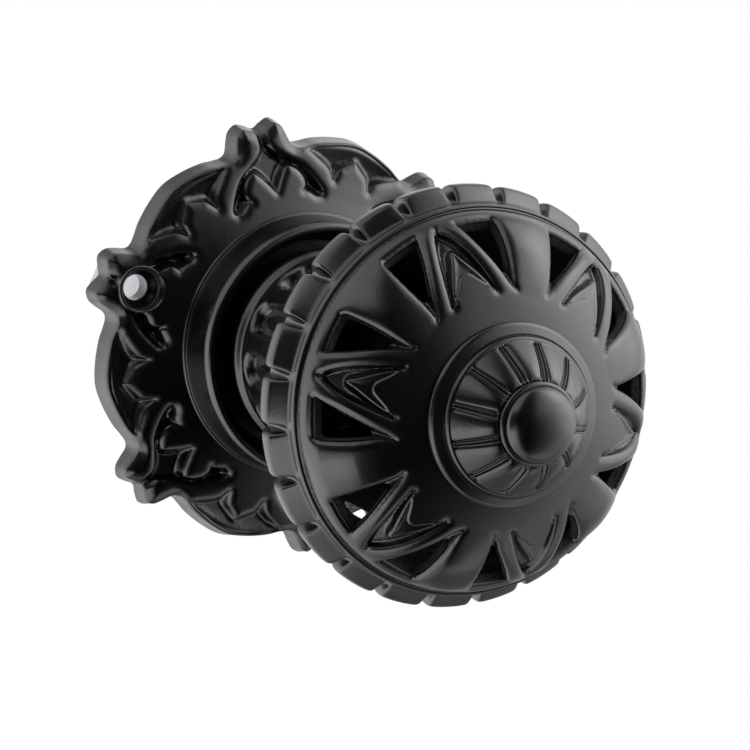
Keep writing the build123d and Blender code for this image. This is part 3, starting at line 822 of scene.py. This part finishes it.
def bell_half():
    """Front, inside, slot and neck of half a bar's sector."""
    pocket, leaf = (np.vstack([side[:-1], (side * (-1, 1))[:0:-1]]) for side in (
        slot_side(19.6, 54.4, 1.0, 2.6, 3.2), slot_side(23.4, 43.9, 0.5, 1.6, 1.8)))
    hole = slot_side(44.6, 47.8, 0.66, 1.2, 1.3)
    full = BELL_RUN[-1]
    step = 0.45

    def edge_points(run):
        return bell_at(run)[0] * math.radians(15)

    count = 16
    bottom = np.column_stack([np.linspace(0, edge_points(0), count), np.zeros(count)])
    ys = np.linspace(0, full, int(full / step))[1:-1]
    right = np.column_stack([edge_points(ys), ys])
    top = np.column_stack([np.linspace(edge_points(full), 0, count), np.full(count, full)])
    left_high = np.arange(full - step, hole[-1, 1] + 0.2, -step)
    left_low = np.arange(hole[0, 1] - 0.2, 0.2, -0.25)
    domain = np.vstack([bottom, right, top, np.column_stack([left_high * 0, left_high]), hole[::-1],
                        np.column_stack([left_low * 0, left_low])])
    i_hole = len(bottom) + len(right) + len(top) + len(left_high)
    rows = [feature_rows([pocket], both_sides(0.15, 0.35, 0.6, 0.9), domain, 0.08),
            feature_rows([leaf], both_sides(0.15, 0.35, 0.6), domain, 0.08)]
    extra = thin_out(np.vstack(rows + [fill_points(domain, 0.5, 0.2)]), 0.12)
    extra = extra[loop_distance(extra, domain) > 0.06]
    verts, faces, where = triangulate(domain, [], extra)
    d = signed_distance(verts, [pocket])
    d_leaf = signed_distance(verts, [leaf])
    lift = -0.5 * (1 - unit(d / 1.1)) ** 2 - 0.12 * unit(1 - d / 0.3) ** 2
    lift = np.where(d < 0, -SLOT_LIP - (SLOT_DEPTH - SLOT_LIP) * unit(-d / 0.42) ** 0.7, lift)
    leaf_lift = -SLOT_DEPTH + LEAF_RISE * (1 - (1 - unit(-d_leaf / 0.95)) ** 2) ** 0.5
    lift = np.where(d_leaf < 0, np.maximum(lift, leaf_lift), lift)
    fade = unit(verts[:, 1] / 1.2) * unit((full - verts[:, 1]) / 1.5)
    lift = lift * fade
    half = Half()
    front = bell_add(half, verts, lift)
    floor = (d[faces].mean(1) < -0.3) & (d_leaf[faces].mean(1) > 0.05)
    half.tris(faces[~floor], front)
    half.tris(faces[floor], front, 1)
    bv, bf, bw = triangulate(domain, [], fill_points(domain, 1.6, 0.5))
    back = bell_add(half, bv, np.full(len(bv), -BELL_WALL))
    half.tris(bf, back, 1)
    hole_index = np.arange(i_hole, i_hole + len(hole))
    row = front[where[hole_index]]
    for share in (0.3, 0.65):
        now = bell_add(half, domain[hole_index], lift[where[hole_index]] * (1 - share) - BELL_WALL * share)
        half.band(row, now)
        row = now
    half.band(row, back[bw[hole_index]], 1)
    low = np.arange(count)
    angles = np.linspace(0, 15, count)
    neck = [(16.62, 17.2), (16.75, 16.7), (16.75, 16.2), (16.6, 15.65), (16.25, 15.2), (15.6, 14.85),
            (15.15, 14.5), (14.98, 14.0), (14.9, 13.1), (14.75, 12.65), (14.5, 12.5), (7.0, 12.5),
            (7.0, 15.1), (13.4, 15.1)]
    last = half.rings(front[where[low]], neck, angles)
    half.band(last, back[bw[low]], 1)
    high = np.arange(count + len(right), count * 2 + len(right))
    half.band(front[where[high]], back[bw[high]], 1)
    return half


# ---- medallion

def make_medallion():
    """Rosette: rounded rim, cove and twelve petals parted by double ribs."""
    runs = np.linspace(0, 1, 44)
    cone_r = 11.45 + (6.45 - 11.45) * runs
    cone_h = 81.15 + (86.35 - 81.15) * (1 - (1 - runs) ** 1.35)
    across = np.array([0, 0.07, 0.14, 0.2, 0.26, 0.32, 0.38, 0.44, 0.5, 0.57, 0.66, 0.78, 0.95])
    section_x = [*across, 1.4, 2.0, 3.0]
    section_h = [-0.34, -0.3, -0.12, 0.04, 0.1, 0.04, -0.16, -0.3, -0.35, -0.34, -0.28, -0.2, -0.13, -0.05,
                 -0.01, 0]
    half = Half()
    rows = []
    for i, (r, h) in enumerate(zip(cone_r, cone_h)):
        reach = r * math.radians(15)
        spread_out = 0.8 + 0.35 * runs[i]
        inner = across * spread_out
        x = np.concatenate([inner, np.linspace(inner[-1], reach, 12)[1:]])
        lift = np.interp(x / spread_out, section_x, section_h)
        lift *= unit(runs[i] / 0.045) ** 0.5
        inner_end = unit((1 - runs[i]) / 0.12)
        lift = lift * inner_end ** 0.5 - 0.2 * (1 - inner_end) ** 2
        rows.append(half.add(r + lift * 0.7, np.degrees(x / r), h + lift * 0.7))
    for low, high in zip(rows, rows[1:]):
        half.band(low, high)
    degs = np.degrees(x / r)
    last = half.rings(rows[-1], [(6.3, 86.2), (6.1, 85.9), (3.2, 85.9)], degs)
    rim = rounded([(3.2, 78.35, 0), (13.3, 78.35, 0.0), (13.86, 78.2, 0.12), (13.97, 79.05, 0.35),
                   (13.6, 79.5, 0.35), (12.3, 80.1, 0.25), (12.08, 80.0, 0.12), (11.98, 80.75, 0.15),
                   (11.75, 81.05, 0.15), (11.5, 81.12, 0.0)], 6)
    first = half.rings(last, rim, degs)
    half.band(first, rows[0])
    b = Builder()
    half.place(b, DOME_PHASE + 30.0 * np.arange(12))
    return b.piece("medallion_rosette")


def make_button():
    """Turned collar and the domed head of the centre bolt with its stud."""
    b = Builder()
    b.lathe(rounded([(3.2, 85.9, 0), (6.25, 85.9, 0.1), (6.28, 86.95, 0.3), (5.85, 87.25, 0.2),
                     (3.2, 87.0, 0)], 5), 128)
    collar = b.piece("button_collar")
    c = Builder()
    head = [(5.62 * math.cos(t), 87.35 + 2.72 * math.sin(t)) for t in np.linspace(0, math.pi / 2, 22)]
    head[-1] = (0.0, 90.07)
    c.lathe([(0.0, 42.5), (2.6, 42.5), (3.0, 42.9), (3.0, 87.0), (5.35, 87.0), (5.52, 87.08),
             (5.6, 87.2)] + head, 128)
    return collar, c.piece("button_bolt")


# ---- materials

class Look:
    """A node material and the few kinds of node its look is made of."""

    def __init__(self, name):
        self.mat = bpy.data.materials.new(name)
        self.mat.use_nodes = True
        self.nodes, self.links = self.mat.node_tree.nodes, self.mat.node_tree.links
        self.inputs = self.nodes["Principled BSDF"].inputs
        self.place = self.nodes.new("ShaderNodeTexCoord").outputs["Object"]

    def shade(self, **values):
        """Feeds the shader."""
        self.feed(self.inputs, **values)

    def feed(self, inputs, **values):
        """Links each named input to an output, or sets it to a number or an (r, g, b) colour."""
        for name, value in values.items():
            socket = inputs[name.replace("_", " ")]
            if isinstance(value, bpy.types.NodeSocket):
                self.links.new(value, socket)
            else:
                socket.default_value = (*value, 1) if isinstance(value, tuple) else value

    def noise(self, scale, detail=3.0, rough=0.5):
        """Noise value in the object's own coordinates."""
        node = self.nodes.new("ShaderNodeTexNoise")
        self.feed(node.inputs, Vector=self.place, Scale=scale, Detail=detail, Roughness=rough)
        return node.outputs["Fac"]

    def spread(self, value, low, high, at=(0.3, 0.7)):
        """Maps a noise value onto a range."""
        node = self.nodes.new("ShaderNodeMapRange")
        self.feed(node.inputs, Value=value, From_Min=at[0], From_Max=at[1], To_Min=low, To_Max=high)
        return node.outputs["Result"]

    def two_tone(self, factor, one, two):
        """Mix of two colours."""
        node = self.nodes.new("ShaderNodeMix")
        node.data_type = "RGBA"
        self.feed(node.inputs, Factor=factor, A=one, B=two)
        return node.outputs["Result"]

    def bumps(self, *layers):
        """Bumps given as (height, strength, distance), one on the other."""
        for height, strength, distance in layers:
            node = self.nodes.new("ShaderNodeBump")
            self.feed(node.inputs, Strength=strength, Distance=distance, Height=height)
            if self.inputs["Normal"].is_linked:
                self.feed(node.inputs, Normal=self.inputs["Normal"].links[0].from_socket)
            self.shade(Normal=node.outputs["Normal"])


def satin_black():
    """Satin black paint on cast iron: slight orange peel, thinner and shinier on worn edges."""
    look = Look("satin_black")
    base, roughness = (0.0018, 0.0018, 0.0019), 0.26
    fine, broad = look.noise(1700.0), look.noise(85.0, 4.0)
    pointiness = look.nodes.new("ShaderNodeNewGeometry").outputs["Pointiness"]
    wear = look.spread(pointiness, 0.0, 1.0, (0.53, 0.6))
    mottled = look.two_tone(broad, base, tuple(c * 1.3 for c in base))
    polish = look.nodes.new("ShaderNodeMath")
    polish.operation = "MULTIPLY_ADD"
    look.links.new(wear, polish.inputs[0])
    polish.inputs[1].default_value = -0.06
    look.links.new(look.spread(broad, roughness - 0.03, roughness + 0.04), polish.inputs[2])
    look.shade(Base_Color=look.two_tone(wear, mottled, (0.004, 0.004, 0.0042)),
               Roughness=polish.outputs["Value"])
    look.bumps((fine, 0.05, 0.0003), (broad, 0.08, 0.0012))
    return look.mat


def cast_inside():
    """Unpolished sand-cast inside: rough brown-black grain."""
    look = Look("cast_inside")
    grain, lumps = look.noise(1500.0, 5.0, 0.7), look.noise(420.0)
    sand = look.two_tone(look.spread(grain, 0, 1), (0.006, 0.0055, 0.005), (0.045, 0.038, 0.03))
    look.shade(Base_Color=sand, Roughness=look.spread(lumps, 0.6, 0.85), Specular_IOR_Level=0.35)
    look.bumps((lumps, 0.5, 0.0008), (grain, 0.6, 0.0005))
    return look.mat


def steel(name, base, roughness, marks=900.0):
    """Machined steel with fine tool marks and faint stains."""
    look = Look(name)
    stains, grain = look.noise(180.0, 4.0), look.noise(2500.0, 2.0)
    wave = look.nodes.new("ShaderNodeTexWave")
    wave.bands_direction = "Y"
    look.feed(wave.inputs, Vector=look.place, Scale=marks, Distortion=1.2)
    look.shade(Metallic=1.0, Base_Color=look.two_tone(stains, base, tuple(c * 0.7 for c in base)),
               Roughness=look.spread(stains, roughness - 0.06, roughness + 0.1))
    look.bumps((wave.outputs["Fac"], 0.08, 0.0001), (grain, 0.08, 0.0001))
    return look.mat


def nylon():
    """Moulded off-white nylon."""
    look = Look("bush_nylon")
    cloud, fine = look.noise(120.0), look.noise(2200.0, 2.0)
    look.shade(Base_Color=look.two_tone(cloud, (0.72, 0.70, 0.64), (0.82, 0.81, 0.76)),
               Roughness=look.spread(cloud, 0.42, 0.55), Subsurface_Weight=0.15, Subsurface_Scale=0.001)
    look.bumps((fine, 0.1, 0.0002))
    return look.mat


def paint(obj, *mats):
    """Puts materials in a piece's slots: outside first, then inside."""
    for i, slot in enumerate(obj.material_slots):
        slot.material = mats[min(i, len(mats) - 1)]


BLACK = satin_black()
INSIDE = cast_inside()
STEEL = steel("plain_steel", (0.55, 0.55, 0.56), 0.32)
SPRING = steel("spring_steel", (0.09, 0.09, 0.1), 0.35)
SPINDLE = steel("spindle_steel", (0.46, 0.46, 0.47), 0.38, 300.0)
NYLON = nylon()

rose_plate, rose_boss = make_rose()
dome_builder, bell_builder = Builder(), Builder()
dome_half().place(dome_builder, DOME_PHASE + 60.0 * np.arange(6))
dome = dome_builder.piece("dome_leaves")
bell_half().place(bell_builder, BELL_PHASE + 30.0 * np.arange(12))
bell = bell_builder.piece("bell_bars")
crown = make_crown()
rosette = make_medallion()
collar, bolt = make_button()

for piece, node, slot in (
        (dome, "knob_dome", "knob_black"), (bell, "knob_bell", "knob_black"),
        (crown, "crown_ring", "knob_black"), (rosette, "medallion", "medallion_black"),
        (collar, "collar_washer", "medallion_black"), (bolt, "centre_bolt", "medallion_black")):
    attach(piece, "knob_body")
    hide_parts(node)
    paint(piece, BLACK, INSIDE)
for piece in (rose_plate, rose_boss):
    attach(piece, "rose_body")
    paint(piece, BLACK, INSIDE)
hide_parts("rose")

for node, mat in (("rose_bush", NYLON), ("back_washer", STEEL), ("circlip", SPRING), ("shank", INSIDE),
                  ("spindle", SPINDLE), ("grub_screw", SPRING), ("lock_nut", SPRING)):
    for slot in frame["nodes"][node].material_slots:
        slot.material = mat

# ---- camera, stage, light

CAMERA_AT = Vector((-0.33665, -0.66543, 0.00261))
BACK = Vector((-0.470514, -0.882378, 0.005091))
RIGHT = Vector((0.837325, -0.444655, 0.318070))
UP = Vector((-0.278394, 0.153919, 0.948054))
SENSOR_MM, LENS_MM = 36.0, 220.85
KEY_AT = RIGHT * 0.62 + UP * 0.50 + BACK * 0.15
KEY_SIDE, KEY_WATTS = 0.5, 0.8
KEY_AIM = Vector((0.0, -0.04, 0.0))
FLOOR_RADIUS, FLOOR_HEIGHT = 1.2, -0.3
camera = bpy.data.objects.new("camera", bpy.data.cameras.new("camera"))
SCENE.collection.objects.link(camera)
camera.matrix_world = Matrix((
    (RIGHT.x, UP.x, BACK.x, CAMERA_AT.x), (RIGHT.y, UP.y, BACK.y, CAMERA_AT.y),
    (RIGHT.z, UP.z, BACK.z, CAMERA_AT.z), (0, 0, 0, 1)))
camera.data.sensor_width = SENSOR_MM
camera.data.lens = LENS_MM
camera.data.clip_start = 10 * MM
SCENE.camera = camera

SCENE.view_settings.view_transform = "Standard"

# A white cyclorama with a bright wall on the right and another on the left. The dark
# room behind the camera shows only as the black reflections in the paint.
studio = bpy.data.worlds.new("studio")
SCENE.world = studio
studio.use_nodes = True
nodes, links = studio.node_tree.nodes, studio.node_tree.links
direction = nodes.new("ShaderNodeTexCoord").outputs["Generated"]


def along(vector):
    """Cosine of the angle between the looked-up direction and a unit vector."""
    dot = nodes.new("ShaderNodeVectorMath")
    dot.operation = "DOT_PRODUCT"
    links.new(direction, dot.inputs[0])
    dot.inputs[1].default_value = vector
    return dot.outputs["Value"]


def math_node(operation, *values):
    """Output of a math node fed with numbers and sockets."""
    node = nodes.new("ShaderNodeMath")
    node.operation = operation
    for socket, value in zip(node.inputs, values):
        if isinstance(value, float):
            socket.default_value = value
        else:
            links.new(value, socket)
    return node.outputs["Value"]


def light_curve(value, reach, top, stops):
    """Smooth curve of light through (degrees, radiance) stops, from -reach to reach."""
    place_on = nodes.new("ShaderNodeMapRange")
    place_on.inputs["From Min"].default_value, place_on.inputs["From Max"].default_value = -reach, reach
    links.new(value, place_on.inputs["Value"])
    ramp = nodes.new("ShaderNodeValToRGB")
    ramp.color_ramp.interpolation = "EASE"
    elements = ramp.color_ramp.elements
    elements.remove(elements[1])
    elements[0].position = 0.0
    elements[0].color = (*[stops[0][1] / top] * 3, 1)
    for at, level in stops[1:]:
        elements.new((at + reach) / (2 * reach)).color = (*[level / top] * 3, 1)
    links.new(place_on.outputs["Result"], ramp.inputs["Fac"])
    return math_node("MULTIPLY", ramp.outputs["Color"], top)


TO_DEGREES = math.degrees(1.0)
azimuth = math_node("MULTIPLY", math_node("ARCTAN2", along(RIGHT), along(BACK)), TO_DEGREES)
elevation = math_node("MULTIPLY", math_node("ARCSINE", along(UP)), TO_DEGREES)


def by_azimuth(top, *stops):
    """Light against the angle round the camera's up, from behind it towards its right."""
    return light_curve(azimuth, 180.0, top, stops)


def by_elevation(top, *stops):
    """Light against the angle over the camera's level."""
    return light_curve(elevation, 90.0, top, stops)


DOORWAY_SHADE = 0.96
around = by_azimuth(
    4.0, (-180, 1.0), (-145, 1.4), (-115, 3.0), (-70, 3.7), (-38, 3.9), (-25, 3.3), (-15, 0.5), (-9, 0.08),
    (6, 0.08), (16, 0.02), (30, 0.05), (42, 0.35), (54, 0.85), (64, 1.5), (78, 2.9), (92, 3.8), (106, 3.2),
    (120, 2.6), (135, 1.2), (160, 1.0), (180, 1.0))
upright_left = by_elevation(
    1.5, (-90, 0.5), (-66, 0.5), (-42, 0.95), (-24, 1.05), (-8, 1.0), (12, 0.75), (32, 0.55), (60, 0.45),
    (90, 0.4))
upright_right = by_elevation(
    1.5, (-90, 0.55), (-66, 0.5), (-42, 0.35), (-24, 0.5), (-8, 0.95), (12, 1.3), (40, 1.5), (60, 1.1),
    (90, 0.4))
left_side = by_azimuth(1.0, (-180, 0.0), (-160, 1.0), (-4, 1.0), (8, 0.0), (180, 0.0))
right_side = math_node("SUBTRACT", 1.0, left_side)
upright = math_node("ADD", math_node("MULTIPLY", left_side, upright_left),
                    math_node("MULTIPLY", right_side, upright_right))
doorway = math_node("MULTIPLY",
                    by_azimuth(1.0, (-180, 0.0), (-78, 0.0), (-64, 1.0), (0, 1.0), (180, 1.0)),
                    by_elevation(1.0, (-90, 0.0), (-24, 0.0), (-14, 1.0), (18, 1.0), (28, 0.0)))
doorway = math_node("MULTIPLY", doorway, left_side)
upper_right = math_node("MULTIPLY",
                        by_azimuth(1.0, (-180, 0.0), (22, 0.0), (42, 1.0), (68, 1.0), (92, 0.0), (180, 0.0)),
                        by_elevation(1.0, (-90, 0.0), (-8, 0.0), (12, 1.0), (50, 1.0), (75, 0.3), (90, 0.2)))
strength = math_node("MULTIPLY", math_node("MULTIPLY", around, upright),
                     math_node("MULTIPLY_ADD", doorway, -DOORWAY_SHADE, 1.0))
strength = math_node("ADD", upper_right, strength)
seen = nodes["Background"]
seen.inputs["Color"].default_value = (1, 1, 1, 1)
seen.inputs["Strength"].default_value = 1.0
fill = nodes.new("ShaderNodeBackground")
fill.inputs["Color"].default_value = (0.97, 0.96, 1.0, 1)
links.new(strength, fill.inputs["Strength"])
path = nodes.new("ShaderNodeLightPath")
either = nodes.new("ShaderNodeMixShader")
links.new(path.outputs["Is Camera Ray"], either.inputs["Fac"])
links.new(fill.outputs["Background"], either.inputs[1])
links.new(seen.outputs["Background"], either.inputs[2])
links.new(either.outputs["Shader"], nodes["World Output"].inputs["Surface"])


key_light = bpy.data.lights.new("key", "AREA")
key_light.size = KEY_SIDE
key_light.energy = KEY_WATTS
key = bpy.data.objects.new("key", key_light)
SCENE.collection.objects.link(key)
key_turn = (KEY_AIM - KEY_AT).to_track_quat("-Z", "Y")
key.matrix_world = Matrix.Translation(KEY_AT) @ key_turn.to_matrix().to_4x4()
key.visible_camera = False

floor = bpy.data.meshes.new("studio_floor")
bm = bmesh.new()
bmesh.ops.create_circle(bm, cap_ends=True, segments=96, radius=FLOOR_RADIUS)
bm.to_mesh(floor)
bm.free()
stage = bpy.data.objects.new("studio_floor", floor)
SCENE.collection.objects.link(stage)
stage.location.z = FLOOR_HEIGHT
paper = Look("studio_paper")
paper.shade(Roughness=0.9,
            Base_Color=paper.two_tone(paper.noise(3.0), (0.82, 0.82, 0.82), (0.86, 0.86, 0.86)))
floor.materials.append(paper.mat)
for ray in ("visible_diffuse", "visible_glossy", "visible_transmission"):
    setattr(stage, ray, False)
